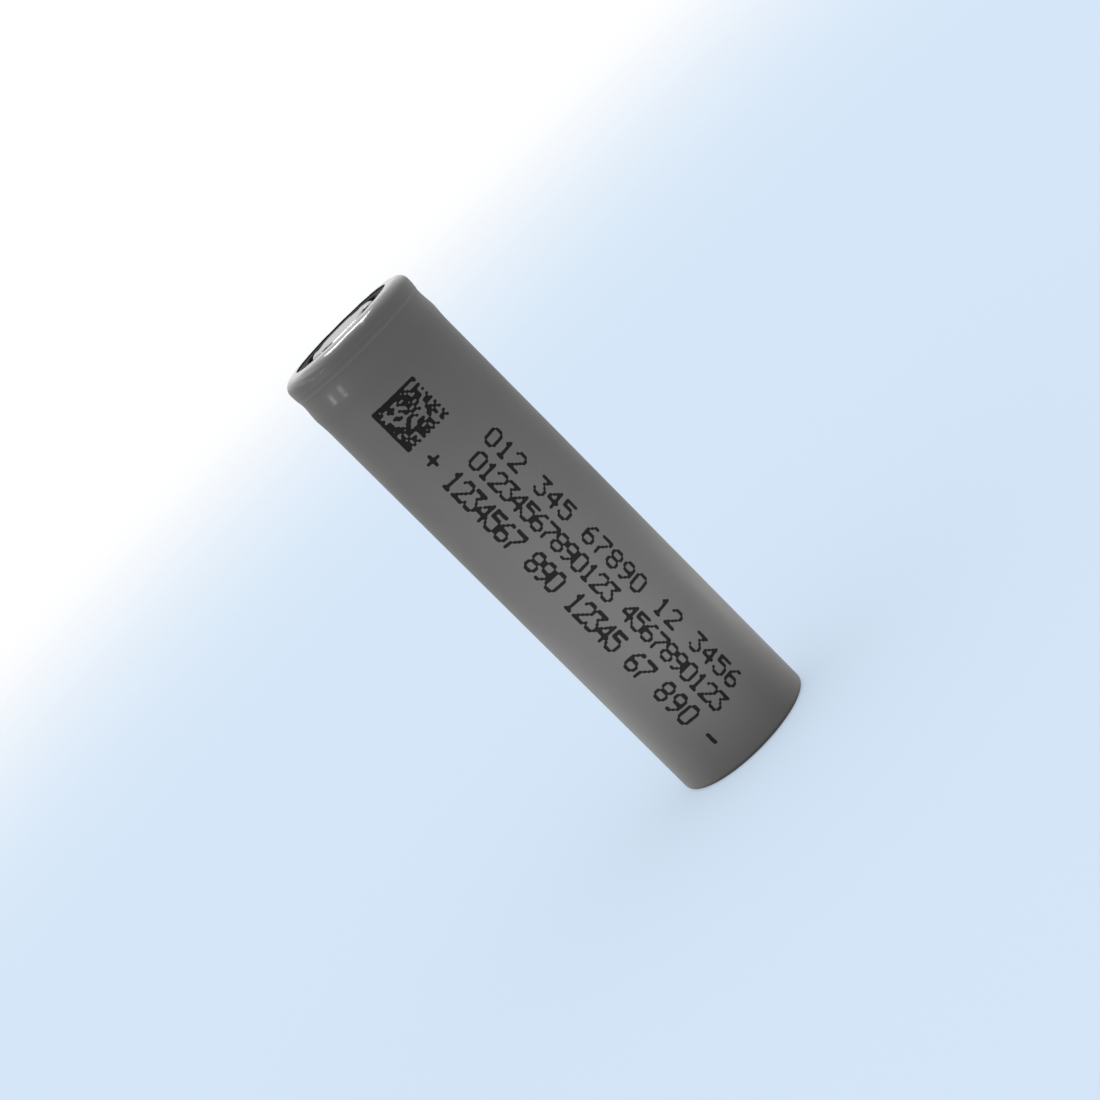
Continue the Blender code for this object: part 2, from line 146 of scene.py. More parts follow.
def makeLights():
    # the lamps light the cell's pieces only, so they leave no pools on the floor
    lit = bpy.data.collections.new("litByLamps")
    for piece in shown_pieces():
        lit.objects.link(piece)
    for name, (kind, azimuth, high, away, aim, width, height, cone, radiance) in lights.items():
        data = bpy.data.lights.new(name, kind)
        # the power that gives the lamp's face its radiance
        if kind == "AREA":
            data.shape = "RECTANGLE"
            data.size, data.size_y = width * mm, height * mm
            data.spread = math.radians(cone)
            data.energy = radiance * math.pi * data.size * data.size_y
        else:
            data.shadow_soft_size = width / 2 * mm
            data.spot_size, data.spot_blend = math.radians(cone), 1.0
            data.energy = radiance * (math.pi * width * mm) ** 2
        item = bpy.data.objects.new(name, data)
        scene.collection.objects.link(item)
        turn = math.radians(azimuth)
        item.location = (math.sin(turn) * away * mm, -math.cos(turn) * away * mm, high * mm)
        item.rotation_mode = "QUATERNION"
        back = item.location - Vector((0.0, 0.0, aim * mm))
        item.rotation_quaternion = back.to_track_quat("Z", "Y")
        item.visible_camera = False
        item.visible_glossy = name not in unseenInGloss
        item.light_linking.receiver_collection = lit


def newMaterial(name):
    material = bpy.data.materials.new(name)
    material.use_nodes = True
    nodes, links = material.node_tree.nodes, material.node_tree.links
    return material, nodes, links, nodes["Principled BSDF"]


def newGroup(name, inputs, outputs):
    group = bpy.data.node_groups.new(name, "ShaderNodeTree")
    for label, kind, value in inputs:
        socket = group.interface.new_socket(name=label, in_out="INPUT", socket_type=kind)
        socket.default_value = value
    for label, kind in outputs:
        group.interface.new_socket(name=label, in_out="OUTPUT", socket_type=kind)
    return group, group.nodes.new("NodeGroupInput"), group.nodes.new("NodeGroupOutput")


def useGroup(nodes, group, **values):
    node = nodes.new("ShaderNodeGroup")
    node.node_tree = group
    for label, value in values.items():
        node.inputs[label].default_value = value
    return node


def calculate(nodes, links, operation, *values):
    # a Math node, whose values are numbers or sockets
    node = nodes.new("ShaderNodeMath")
    node.operation = operation
    for socket, value in zip(node.inputs, values):
        if isinstance(value, bpy.types.NodeSocket):
            links.new(value, socket)
        else:
            socket.default_value = value
    return node.outputs["Value"]


def remap(nodes, links, value, low, high, lowest, highest):
    node = nodes.new("ShaderNodeMapRange")
    node.interpolation_type = "SMOOTHSTEP"
    links.new(value, node.inputs["Value"])
    ends = {"From Min": low, "From Max": high, "To Min": lowest, "To Max": highest}
    for label, number in ends.items():
        node.inputs[label].default_value = number
    return node.outputs["Result"]


def mixColor(nodes, links, factor, low, high):
    node = nodes.new("ShaderNodeMix")
    node.data_type = "RGBA"
    links.new(factor, node.inputs[0])
    for socket, value in ((node.inputs[6], low), (node.inputs[7], high)):
        if isinstance(value, bpy.types.NodeSocket):
            links.new(value, socket)
        else:
            socket.default_value = (*value, 1.0)
    return node.outputs[2]


def addBump(nodes, links, shader, height, strength, distance):
    bump = nodes.new("ShaderNodeBump")
    bump.inputs["Strength"].default_value = strength
    bump.inputs["Distance"].default_value = distance
    links.new(height, bump.inputs["Height"])
    links.new(bump.outputs["Normal"], shader.inputs["Normal"])


def makeFineGrain():
    # a colour that varies a little, and a height for a bump
    group, start, end = newGroup(
        "fineGrain",
        (
            ("Color", "NodeSocketColor", (0.5, 0.5, 0.5, 1.0)),
            ("Size", "NodeSocketFloat", 0.1 * mm),
            ("Contrast", "NodeSocketFloat", 0.1),
        ),
        (("Color", "NodeSocketColor"), ("Height", "NodeSocketFloat")),
    )
    nodes, links = group.nodes, group.links
    place = nodes.new("ShaderNodeTexCoord")
    speckle = nodes.new("ShaderNodeTexNoise")
    speckle.inputs["Detail"].default_value = 3.0
    links.new(place.outputs["Object"], speckle.inputs["Vector"])
    links.new(calculate(nodes, links, "DIVIDE", 1.0, start.outputs["Size"]), speckle.inputs["Scale"])
    centred = calculate(nodes, links, "SUBTRACT", speckle.outputs["Fac"], 0.5)
    swing = calculate(nodes, links, "MULTIPLY_ADD", centred, start.outputs["Contrast"], 1.0)
    scale = nodes.new("ShaderNodeVectorMath")
    scale.operation = "SCALE"
    links.new(start.outputs["Color"], scale.inputs[0])
    links.new(swing, scale.inputs["Scale"])
    links.new(scale.outputs["Vector"], end.inputs["Color"])
    links.new(speckle.outputs["Fac"], end.inputs["Height"])
    return group


def makeHandling():
    # patches that fingers and packing have left a little smoother or duller
    group, start, end = newGroup(
        "handling",
        (
            ("Roughness", "NodeSocketFloat", 0.5),
            ("Spread", "NodeSocketFloat", 0.1),
            ("Size", "NodeSocketFloat", 5.0 * mm),
        ),
        (("Roughness", "NodeSocketFloat"), ("Mask", "NodeSocketFloat")),
    )
    nodes, links = group.nodes, group.links
    place = nodes.new("ShaderNodeTexCoord")
    patch = nodes.new("ShaderNodeTexNoise")
    patch.inputs["Detail"].default_value = 5.0
    patch.inputs["Roughness"].default_value = 0.6
    links.new(place.outputs["Object"], patch.inputs["Vector"])
    links.new(calculate(nodes, links, "DIVIDE", 1.0, start.outputs["Size"]), patch.inputs["Scale"])
    mask = remap(nodes, links, patch.outputs["Fac"], 0.35, 0.65, 0.0, 1.0)
    centred = calculate(nodes, links, "SUBTRACT", mask, 0.5)
    value = calculate(
        nodes, links, "MULTIPLY_ADD", centred, start.outputs["Spread"], start.outputs["Roughness"]
    )
    links.new(value, end.inputs["Roughness"])
    links.new(mask, end.inputs["Mask"])
    return group


def makeTurnedMarks():
    # fine rings around the cell's axis, as drawing and turning leave them
    group, start, end = newGroup(
        "turnedMarks",
        (("Spacing", "NodeSocketFloat", 0.1 * mm),),
        (("Height", "NodeSocketFloat"),),
    )
    nodes, links = group.nodes, group.links
    place = nodes.new("ShaderNodeTexCoord")
    flat = nodes.new("ShaderNodeVectorMath")
    flat.operation = "MULTIPLY"
    flat.inputs[1].default_value = (1.0, 1.0, 0.0)
    links.new(place.outputs["Object"], flat.inputs[0])
    reach = nodes.new("ShaderNodeVectorMath")
    reach.operation = "LENGTH"
    links.new(flat.outputs["Vector"], reach.inputs[0])
    axes = nodes.new("ShaderNodeSeparateXYZ")
    links.new(place.outputs["Object"], axes.inputs["Vector"])
    ringPlace = nodes.new("ShaderNodeCombineXYZ")
    links.new(reach.outputs["Value"], ringPlace.inputs["X"])
    links.new(axes.outputs["Z"], ringPlace.inputs["Y"])
    rings = nodes.new("ShaderNodeTexNoise")
    rings.noise_dimensions = "2D"
    rings.inputs["Detail"].default_value = 4.0
    links.new(ringPlace.outputs["Vector"], rings.inputs["Vector"])
    links.new(calculate(nodes, links, "DIVIDE", 1.0, start.outputs["Spacing"]), rings.inputs["Scale"])
    links.new(rings.outputs["Fac"], end.inputs["Height"])
    return group


def makeRolledMarks():
    # lines that rolling leaves in a strip; Stretch is small along them and large across
    group, start, end = newGroup(
        "rolledMarks",
        (("Stretch", "NodeSocketVector", (8000.0, 8000.0, 200.0)),),
        (("Height", "NodeSocketFloat"), ("Mask", "NodeSocketFloat")),
    )
    nodes, links = group.nodes, group.links
    place = nodes.new("ShaderNodeTexCoord")
    drawn = nodes.new("ShaderNodeVectorMath")
    drawn.operation = "MULTIPLY"
    links.new(place.outputs["Object"], drawn.inputs[0])
    links.new(start.outputs["Stretch"], drawn.inputs[1])
    lines = nodes.new("ShaderNodeTexNoise")
    lines.inputs["Scale"].default_value = 1.0
    lines.inputs["Detail"].default_value = 3.0
    links.new(drawn.outputs["Vector"], lines.inputs["Vector"])
    links.new(lines.outputs["Fac"], end.inputs["Height"])
    links.new(remap(nodes, links, lines.outputs["Fac"], 0.56, 0.70, 0.0, 1.0), end.inputs["Mask"])
    return group


fineGrain = makeFineGrain()
handling = makeHandling()
turnedMarks = makeTurnedMarks()
rolledMarks = makeRolledMarks()


def polymerFinish(name, color, roughness, grainSize=0.12 * mm, contrast=0.10, bump=0.15, coat=0.0):
    material, nodes, links, shader = newMaterial(name)
    grain = useGroup(nodes, fineGrain, Color=(*color, 1.0), Size=grainSize, Contrast=contrast)
    patches = useGroup(nodes, handling, Roughness=roughness, Spread=0.10, Size=4.0 * mm)
    links.new(grain.outputs["Color"], shader.inputs["Base Color"])
    links.new(patches.outputs["Roughness"], shader.inputs["Roughness"])
    addBump(nodes, links, shader, grain.outputs["Height"], bump, 0.02 * mm)
    shader.inputs["Coat Weight"].default_value = coat
    shader.inputs["Coat Roughness"].default_value = 0.18
    return material


def turnedMetal(name, color, roughness, spacing, depth, spread=0.12):
    # drawn or stamped sheet metal with rings around the cell's axis
    material, nodes, links, shader = newMaterial(name)
    rings = useGroup(nodes, turnedMarks, Spacing=spacing)
    patches = useGroup(nodes, handling, Roughness=roughness, Spread=spread, Size=2.5 * mm)
    dulled = tuple(channel * 0.86 for channel in color)
    mixed = mixColor(nodes, links, rings.outputs["Height"], dulled, color)
    links.new(mixed, shader.inputs["Base Color"])
    links.new(patches.outputs["Roughness"], shader.inputs["Roughness"])
    addBump(nodes, links, shader, rings.outputs["Height"], 0.4, depth)
    shader.inputs["Metallic"].default_value = 1.0
    return material


def rolledMetal(name, color, roughness, stretch):
    # strip metal with lines along its rolling direction and some deeper scratches
    material, nodes, links, shader = newMaterial(name)
    lines = useGroup(nodes, rolledMarks, Stretch=stretch)
    patches = useGroup(nodes, handling, Roughness=roughness, Spread=0.12, Size=2.0 * mm)
    scratched = tuple(channel * 0.80 for channel in color)
    mixed = mixColor(nodes, links, lines.outputs["Mask"], color, scratched)
    links.new(mixed, shader.inputs["Base Color"])
    links.new(patches.outputs["Roughness"], shader.inputs["Roughness"])
    addBump(nodes, links, shader, lines.outputs["Height"], 0.4, 0.004 * mm)
    shader.inputs["Metallic"].default_value = 1.0
    return material


filmLook = {
    "grey": (0.078, 0.078, 0.0775),
    "footShadeGrey": (0.050, 0.050, 0.050),  # painted contact shade where the cell stands on the floor
    "footShadeHeights": (0.20 * mm, 0.60 * mm),
    "ridgeHighlightGrey": (0.165, 0.165, 0.165),  # painted highlight on the creases and along the head's edge line
    "roughness": 0.50,
    "specular": 0.33,
    "coat": (0.07, 1.0),  # on the body, and on the folded head, where it is drawn tight and shiny
    "coatDrops": (1.10 * mm, 0.10 * mm),
    "coatRoughness": 0.13,
}


def filmFinish():
    # matte shrink film: fine grain on broad, faint mottling, and a thin sheen over it
    material, nodes, links, shader = newMaterial("greyShrinkFilm")
    cloud = useGroup(nodes, fineGrain, Color=(*filmLook["grey"], 1.0), Size=3.0 * mm, Contrast=0.06)
    grain = useGroup(nodes, fineGrain, Size=0.16 * mm, Contrast=0.16)
    patches = useGroup(nodes, handling, Roughness=filmLook["roughness"], Spread=0.08, Size=5.0 * mm)
    links.new(cloud.outputs["Color"], grain.inputs["Color"])
    place = nodes.new("ShaderNodeTexCoord")
    axes = nodes.new("ShaderNodeSeparateXYZ")
    links.new(place.outputs["Object"], axes.inputs["Vector"])
    # painted contact shade: the film is darker near its foot, where it stands on the floor
    footShade = remap(nodes, links, axes.outputs["Z"], *filmLook["footShadeHeights"], 1.0, 0.0)
    color = mixColor(nodes, links, footShade, grain.outputs["Color"], filmLook["footShadeGrey"])
    # painted highlight where the creases and the head line would catch the light, read from a point
    # attribute
    paintedHighlight = nodes.new("ShaderNodeAttribute")
    paintedHighlight.attribute_name = "paintedRidgeHighlight"
    color = mixColor(nodes, links, paintedHighlight.outputs["Fac"], color, filmLook["ridgeHighlightGrey"])
    links.new(color, shader.inputs["Base Color"])
    links.new(patches.outputs["Roughness"], shader.inputs["Roughness"])
    addBump(nodes, links, shader, grain.outputs["Height"], 0.12, 0.02 * mm)
    low, high = (cellTop - drop for drop in filmLook["coatDrops"])
    drawn = remap(nodes, links, axes.outputs["Z"], low, high, *filmLook["coat"])
    links.new(drawn, shader.inputs["Coat Weight"])
    shader.inputs["Coat Roughness"].default_value = filmLook["coatRoughness"]
    shader.inputs["Specular IOR Level"].default_value = filmLook["specular"]
    return material


def boardFinish():
    # black vulcanised fibre board, with short fibres in its face
    material, nodes, links, shader = newMaterial("blackFibreBoard")
    fibres = useGroup(nodes, rolledMarks, Stretch=(9000.0, 2500.0, 2500.0))
    grain = useGroup(nodes, fineGrain, Color=(0.011, 0.011, 0.012, 1.0), Size=0.15 * mm, Contrast=0.3)
    color = mixColor(nodes, links, fibres.outputs["Mask"], grain.outputs["Color"], (0.022, 0.022, 0.023))
    links.new(color, shader.inputs["Base Color"])
    addBump(nodes, links, shader, grain.outputs["Height"], 0.3, 0.02 * mm)
    shader.inputs["Roughness"].default_value = 0.85
    shader.inputs["Specular IOR Level"].default_value = 0.12
    return material


def inkFinish():
    # jet ink that has dried a little thinner in places
    material, nodes, links, shader = newMaterial("blackJetInk")
    grain = useGroup(nodes, fineGrain, Color=(0.0095, 0.0095, 0.0105, 1.0), Size=0.12 * mm, Contrast=0.5)
    patches = useGroup(nodes, handling, Roughness=0.70, Spread=0.10, Size=1.0 * mm)
    links.new(grain.outputs["Color"], shader.inputs["Base Color"])
    links.new(patches.outputs["Roughness"], shader.inputs["Roughness"])
    addBump(nodes, links, shader, grain.outputs["Height"], 0.2, 0.01 * mm)
    shader.inputs["Specular IOR Level"].default_value = 0.05
    return material


def coatingFinish(name, color, roughness):
    # calendered electrode coating: dense powder with faint lines along the strip
    material, nodes, links, shader = newMaterial(name)
    grain = useGroup(nodes, fineGrain, Color=(*color, 1.0), Size=0.06 * mm, Contrast=0.5)
    lines = useGroup(nodes, rolledMarks, Stretch=(300.0, 300.0, 6000.0))
    paler = tuple(channel * 1.5 for channel in color)
    mixed = mixColor(nodes, links, lines.outputs["Mask"], grain.outputs["Color"], paler)
    links.new(mixed, shader.inputs["Base Color"])
    addBump(nodes, links, shader, grain.outputs["Height"], 0.35, 0.01 * mm)
    shader.inputs["Roughness"].default_value = roughness
    return material


finishes = {
    "sleeve_film": filmFinish(),
    "insulating_board": boardFinish(),
    "can_steel": turnedMetal("drawnCanSteel", (0.62, 0.61, 0.58), 0.30, 0.12 * mm, 0.004 * mm),
    "cap_steel": turnedMetal("platedCapSteel", (0.30, 0.295, 0.285), 0.24, 0.20 * mm, 0.004 * mm, 0.04),
    "seal_polymer": polymerFinish("naturalSeal", (0.75, 0.74, 0.70), 0.45),
    "vent_aluminium": turnedMetal("ventAluminium", (0.78, 0.78, 0.79), 0.32, 0.08 * mm, 0.004 * mm),
    "tab_aluminium": rolledMetal("tabAluminium", (0.77, 0.77, 0.78), 0.32, (9000.0, 9000.0, 250.0)),
    "tab_nickel": rolledMetal("tabNickel", (0.66, 0.63, 0.58), 0.34, (9000.0, 9000.0, 250.0)),
    "insulating_disc": polymerFinish("paleInsulator", (0.60, 0.58, 0.50), 0.7, 0.3 * mm, 0.2, 0.3),
    "cathode_coating": coatingFinish("cathodeCoating", (0.03, 0.03, 0.032), 0.65),
    "anode_coating": coatingFinish("anodeCoating", (0.05, 0.05, 0.052), 0.72),
    "separator_film": polymerFinish("porousFilm", (0.82, 0.82, 0.80), 0.5, 0.05 * mm, 0.06, 0.1),
    "roll_tape": polymerFinish("greenRollTape", (0.10, 0.35, 0.22), 0.38, 0.2 * mm, 0.08, 0.1, 0.2),
    "tab_tape": polymerFinish("amberTabTape", (0.55, 0.33, 0.06), 0.3, 0.2 * mm, 0.1, 0.1, 0.3),
}
inkMaterial = inkFinish()
for part in frame["record"]["subparts"]:
    mesh = frame["nodes"][part["node"]].data
    mesh.materials.clear()
    mesh.materials.append(finishes[part["material_slot"]])
print("finishes made")


def makeFloor():
    # a flat ring whose far part and underside let the world through
    steps = studio["floorSteps"]
    verts = []
    for radius in (studio["floorHole"], studio["floorRadius"]):
        for step in range(steps):
            angle = math.tau * step / steps
            verts.append((radius * math.cos(angle), radius * math.sin(angle), 0.0))
    faces = [(i, steps + i, steps + (i + 1) % steps, (i + 1) % steps) for i in range(steps)]
    mesh = bpy.data.meshes.new("paleFloor")
    mesh.from_pydata(verts, [], faces)
    floor = bpy.data.objects.new("paleFloor", mesh)
    scene.collection.objects.link(floor)
    material, nodes, links, shader = newMaterial("floorPaper")
    mesh.materials.append(material)
    place = nodes.new("ShaderNodeTexCoord")
    reach = nodes.new("ShaderNodeVectorMath")
    reach.operation = "LENGTH"
    links.new(place.outputs["Object"], reach.inputs[0])
    away = reach.outputs["Value"]
    path = nodes.new("ShaderNodeLightPath")
    seen = path.outputs["Is Camera Ray"]
    color = mixColor(nodes, links, seen, studio["floorBounce"], studio["floorSeen"])
    links.new(color, shader.inputs["Base Color"])
    shader.inputs["Roughness"].default_value = studio["floorRoughness"]
    shader.inputs["Specular IOR Level"].default_value = studio["floorSpecular"]
    side = nodes.new("ShaderNodeNewGeometry")
    far = remap(nodes, links, away, studio["fadeStart"], studio["fadeEnd"], 0.0, 1.0)
    clear = nodes.new("ShaderNodeBsdfTransparent")
    blend = nodes.new("ShaderNodeMixShader")
    unseen = calculate(nodes, links, "MAXIMUM", side.outputs["Backfacing"], far)
    links.new(unseen, blend.inputs["Fac"])
    glow = nodes.new("ShaderNodeEmission")
    glow.inputs["Color"].default_value = (*studio["floorSeen"], 1.0)
    lift = nodes.new("ShaderNodeMixShader")
    unshaded = calculate(nodes, links, "MULTIPLY", seen, studio["floorUnshaded"])
    links.new(unshaded, lift.inputs["Fac"])
    links.new(shader.outputs["BSDF"], lift.inputs[1])
    links.new(glow.outputs["Emission"], lift.inputs[2])
    links.new(lift.outputs["Shader"], blend.inputs[1])
    links.new(clear.outputs["BSDF"], blend.inputs[2])
    links.new(blend.outputs["Shader"], nodes["Material Output"].inputs["Surface"])
    floor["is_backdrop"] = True


def fade(low, high, value):
    # 0 below low, 1 above high, smooth between
    share = min(max((value - low) / (high - low), 0.0), 1.0)
    return share * share * (3.0 - 2.0 * share)


def hump(value, centre, width):
    return math.exp(-(((value - centre) / width) ** 2))


def roundCorner(centre, radius, start, end, steps):
    points = []
    for step in range(steps + 1):
        angle = math.radians(start + (end - start) * step / steps)
        points.append((centre[0] + radius * math.cos(angle), centre[1] + radius * math.sin(angle)))
    return points


def stretchOf(low, high, spacing):
    # evenly spaced values after low, up to and including high
    count = max(1, round(abs(high - low) / spacing))
    return [low + (high - low) * (step + 1) / count for step in range(count)]


def profileFrame(profile):
    # for each point its path length from the start and its outward direction
    reach, lengths, normals = 0.0, [], []
    last = len(profile) - 1
    for index, point in enumerate(profile):
        before = Vector(profile[max(index - 1, 0)])
        after = Vector(profile[min(index + 1, last)])
        if index:
            reach += (Vector(point) - before).length
        along = (after - before).normalized()
        lengths.append(reach)
        normals.append((-along.y, along.x))
    return lengths, normals


def turnedSkin(name, profile, segments, shift=None, firstAngle=0.0, gone=None):
    # a profile run from the top down the outer side, turned around Z
    lengths, normals = profileFrame(profile)
    verts, rows = [], []
    for index, (radius, height) in enumerate(profile):
        if radius == 0.0:
            rows.append([len(verts)] * segments)
            verts.append((0.0, 0.0, height))
            continue
        if index and profile[index] == profile[0]:
            rows.append(rows[0])
            continue
        rows.append(list(range(len(verts), len(verts) + segments)))
        for segment in range(segments):
            angle = firstAngle + math.tau * segment / segments
            outX, outZ = normals[index]
            push = shift(angle, lengths[index], radius, height) if shift else (0.0, 0.0)
            r = radius + outX * push[0] + outZ * push[1]
            z = height + outZ * push[0] - outX * push[1]
            verts.append((r * math.cos(angle), r * math.sin(angle), z))
    faces = []
    for index in range(len(profile) - 1):
        for segment in range(segments):
            if gone and gone(index, segment):
                continue
            after = (segment + 1) % segments
            upper, lower = rows[index], rows[index + 1]
            corners = (upper[segment], lower[segment], lower[after], upper[after])
            faces.append(tuple(dict.fromkeys(corners)))
    mesh = bpy.data.meshes.new(name)
    mesh.from_pydata(verts, [], faces)
    mesh.validate()
    mesh.shade_smooth()
    item = bpy.data.objects.new(name, mesh)
    scene.collection.objects.link(item)
    return item


def giveThickness(item, thickness):
    solidify = item.modifiers.new("Thickness", "SOLIDIFY")
    solidify.thickness = thickness
    solidify.offset = -1.0
    solidify.use_even_offset = True


def softenEdges(item, width, steps=2, limit=40.0):
    bevel = item.modifiers.new("SoftEdges", "BEVEL")
    bevel.width = width
    bevel.segments = steps
    bevel.limit_method = "ANGLE"
    bevel.angle_limit = math.radians(limit)
    bevel.harden_normals = False


def settle(item, slotName, *nodeNames):
    # finish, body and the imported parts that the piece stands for
    item.data.materials.append(finishes[slotName])
    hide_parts(*nodeNames)
    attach(item, "cell")


# grey film, shrunk over the can and folded over both ends
film = {
    "thickness": 0.08 * mm,
    "segments": 256,
    "foldOpening": 6.85 * mm,
    "headRadius": 9.13 * mm,
    "headRounding": 1.25 * mm,
    "foldSlope": 5.0,  # the fold falls away outwards
    "bodyRadius": 9.02 * mm,
    "bottomRounding": 0.60 * mm,
    "bottomOpening": 7.30 * mm,
    "headEnd": (1.90 * mm, 2.95 * mm),  # drops below the top
    "grooveDrop": 3.30 * mm,
    "grooveDepth": 0.035 * mm,
    "grooveWidth": 0.60 * mm,
    "shoulderDrop": 5.30 * mm,
    "shoulderRise": 0.11 * mm,
    "shoulderWidths": (0.95 * mm, 1.15 * mm),  # above and below
    "headLineDrop": 2.56 * mm,
    "headLineRise": 0.028 * mm,
    "headLineWidth": 0.14 * mm,
    "headLineHighlight": 0.24,
    "highlightRise": 0.055 * mm,  # a crease this high gets the full painted highlight
    "puckerHeight": 0.050 * mm,
    "puckersAround": 4.2,
    "puckerLength": 2.2 * mm,
    "puckerStart": (0.0, 1.3 * mm),  # path lengths from the fold's edge
    "puckerEnd": (2.6 * mm, 4.6 * mm),
    "waveHeight": 0.006 * mm,
    "wavesAround": 1.6,
    "waveLength": 14.0 * mm,
    "edgeWander": 0.07 * mm,
    "edgeDip": 0.03 * mm,
    "edgeReach": 0.7 * mm,
    "fineEnd": 8.6 * mm,  # drop below the top where the close rows of points end
    "foldRows": 0.15 * mm,  # spacings of the rows of points
    "headRows": 0.09 * mm,
    "bodyRows": 1.8 * mm,
    "bottomRows": 0.3 * mm,
}

creases = (
    # angle, path length from the fold's edge, tilt, length, width, height
    (-76.0, 2.25 * mm, -35.0, 0.40 * mm, 0.10 * mm, 0.060 * mm),
    (-71.5, 2.05 * mm, -30.0, 0.22 * mm, 0.09 * mm, 0.050 * mm),
    (-133.0, 2.15 * mm, 6.0, 2.40 * mm, 0.10 * mm, 0.030 * mm),
    (-141.0, 2.60 * mm, 5.0, 1.20 * mm, 0.09 * mm, 0.025 * mm),
    (-152.0, 1.75 * mm, 3.0, 1.20 * mm, 0.09 * mm, 0.025 * mm),
    (-24.0, 2.00 * mm, -12.0, 1.20 * mm, 0.10 * mm, 0.025 * mm),
    (38.0, 1.80 * mm, 10.0, 1.40 * mm, 0.11 * mm, 0.030 * mm),
    (97.0, 2.20 * mm, -25.0, 0.60 * mm, 0.10 * mm, 0.035 * mm),
    (158.0, 1.90 * mm, 8.0, 1.60 * mm, 0.11 * mm, 0.030 * mm),
)
paintedRidgeHighlight = []  # how much painted highlight each point of the film gets


def filmRadius(drop):
    head = (film["headRadius"] - film["bodyRadius"]) * (1.0 - fade(*film["headEnd"], drop))
    groove = film["grooveDepth"] * hump(drop, film["grooveDrop"], film["grooveWidth"])
    above, below = film["shoulderWidths"]
    width = above if drop < film["shoulderDrop"] else below
    shoulder = film["shoulderRise"] * hump(drop, film["shoulderDrop"], width)
    line = film["headLineRise"] * hump(drop, film["headLineDrop"], film["headLineWidth"])
    return film["bodyRadius"] + head - groove + shoulder + line


def foldEnd():
    # where the sloping fold meets the head's rounding, and the rounding's centre
    slope, rounding = math.radians(film["foldSlope"]), film["headRounding"]
    centreRadius = film["headRadius"] - rounding
    radius = centreRadius + rounding * math.sin(slope)
    height = cellTop - (radius - film["foldOpening"]) * math.tan(slope)
    return radius, height, (centreRadius, height - rounding * math.cos(slope))


def foldReach():
    # path length from the fold's edge to the head's straight side
    radius, height = foldEnd()[:2]
    flat = math.hypot(radius - film["foldOpening"], cellTop - height)
    return flat + film["headRounding"] * math.radians(90.0 - film["foldSlope"])


def creaseHeight(angle, reach):
    height = 0.0
    for centre, place, tilt, length, width, rise in creases:
        turn = (angle - math.radians(centre) + math.pi) % math.tau - math.pi
        along, down = turn * film["bodyRadius"], reach - place
        if abs(along) > 3.0 * length or abs(down) > 3.0 * length:
            continue
        lean = math.radians(tilt)
        onLine = along * math.cos(lean) + down * math.sin(lean)
        offLine = down * math.cos(lean) - along * math.sin(lean)
        height += rise * hump(onLine, 0.0, length) * hump(offLine, 0.0, width)
    return height


def filmRipple(angle, reach):
    # how far the shrunk film stands off its plain turned shape, mostly near the folded head
    x, y = math.cos(angle), math.sin(angle)
    around, broad = film["puckersAround"], film["wavesAround"]
    pucker = noise.noise(Vector((x * around, y * around, reach / film["puckerLength"])))
    slack = fade(*film["puckerStart"], reach) * (1.0 - fade(*film["puckerEnd"], reach))
    wave = noise.noise(Vector((x * broad, y * broad, reach / film["waveLength"] + 7.0)))
    height = film["puckerHeight"] * slack * max(pucker, -0.25) + film["waveHeight"] * wave
    return height + creaseHeight(angle, reach)


def filmShift(angle, reach, radius, height):
    # outward lift, and a slide along the profile that makes the fold's edge wander
    x, y = math.cos(angle), math.sin(angle)
    wander = film["edgeWander"] * noise.noise(Vector((x * 3.0, y * 3.0, 3.0)))
    atEdge = 1.0 - fade(0.0, film["edgeReach"], reach)
    dip = -film["edgeDip"] * atEdge * (0.6 + noise.noise(Vector((x * 5.0, y * 5.0, 9.0))))
    lift = filmRipple(angle, reach) + dip
    if height < film["bottomRounding"]:
        lift = min(lift, 0.0)
    # painted highlight on the creases and along the head line, kept for each point
    headLine = hump(cellTop - height, film["headLineDrop"], film["headLineWidth"])
    pale = creaseHeight(angle, reach) / film["highlightRise"] + film["headLineHighlight"] * headLine
    paintedRidgeHighlight.append(min(pale, 1.0))
    return lift, wander * atEdge


def filmProfile():
    foldRadius, foldHeight, corner = foldEnd()
    points = [(film["foldOpening"], cellTop)]
    for radius in stretchOf(film["foldOpening"], foldRadius, film["foldRows"])[:-1]:
        share = (radius - film["foldOpening"]) / (foldRadius - film["foldOpening"])
        points.append((radius, cellTop + (foldHeight - cellTop) * share))
    points += roundCorner(corner, film["headRounding"], 90.0 - film["foldSlope"], 0.0, 16)
    drops = stretchOf(cellTop - corner[1], film["fineEnd"], film["headRows"])
    low = film["bottomRounding"]
    drops += stretchOf(film["fineEnd"], cellTop - low, film["bodyRows"])[:-1]
    points += [(filmRadius(drop), cellTop - drop) for drop in drops]
    inner = film["bodyRadius"] - low
    points += roundCorner((inner, low), low, 0.0, -90.0, 8)
    flat = stretchOf(inner, film["bottomOpening"], film["bottomRows"])
    points += [(radius, 0.0) for radius in flat]
    return points


def makeShrinkFilm():
    item = turnedSkin("shrink_film", filmProfile(), film["segments"], filmShift)
    item.data.attributes.new("paintedRidgeHighlight", "FLOAT", "POINT").data.foreach_set("value", paintedRidgeHighlight)
    giveThickness(item, film["thickness"])
    settle(item, "sleeve_film", "shrink_sleeve")


makeShrinkFilm()
print("shrink film made")


# black washer under the film's upper fold
washer = {
    "segments": 160,
    "edgeRounding": 0.04 * mm,
    "opening": 5.30 * mm,
    "radius": 7.25 * mm,
    "lowered": 0.05 * mm,  # clear of the sloping fold
}


